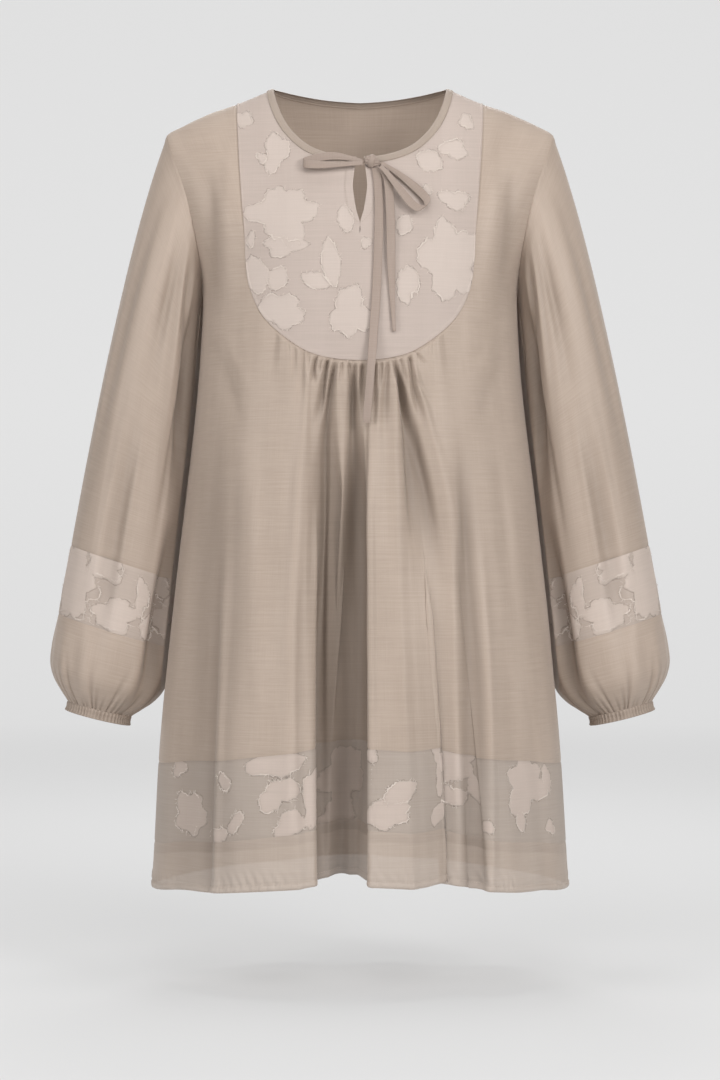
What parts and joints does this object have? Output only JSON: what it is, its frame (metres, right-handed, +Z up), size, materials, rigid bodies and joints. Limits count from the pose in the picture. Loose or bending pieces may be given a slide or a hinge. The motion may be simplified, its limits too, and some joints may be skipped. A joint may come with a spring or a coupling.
{
  "type": "tunic top",
  "caption": "Long-sleeved A-line tunic top with a floral bib yoke, tied neck slit, gathered front, banded bishop sleeves and banded hem.",
  "frame": {"origin": "midway between the two highest points of the neck, where the wearer's shoulders carry the garment", "axes": "+Z up along the wearer's body, the front faces -Y, +X to the viewer's right when the front is seen"},
  "size_m": [0.6248, 0.2933, 0.7962],
  "materials": {
    "plain_cloth": "soft sheen plain weave",
    "sheer_cloth": "semi-sheer plain weave",
    "floral_cloth": "sheer ground with clipped floral patches"
  },
  "bodies": {
    "root": {"front_body": "plain_cloth", "back_body": "plain_cloth", "yoke": "floral_cloth", "neck_binding": "plain_cloth", "hem_band_front": "floral_cloth", "hem_band_back": "floral_cloth", "hem_edge_front": "sheer_cloth", "hem_edge_back": "sheer_cloth", "sleeve_left": "plain_cloth", "sleeve_right": "plain_cloth", "sleeve_band_left": "floral_cloth", "sleeve_band_right": "floral_cloth", "sleeve_puff_left": "plain_cloth", "sleeve_puff_right": "plain_cloth", "cuff_left": "plain_cloth", "cuff_right": "plain_cloth", "tie_knot": "plain_cloth", "tie_loop_left": "plain_cloth", "tie_loop_right": "plain_cloth", "tie_end_long": "plain_cloth", "tie_end_short": "plain_cloth"}
  },
  "joints": []
}
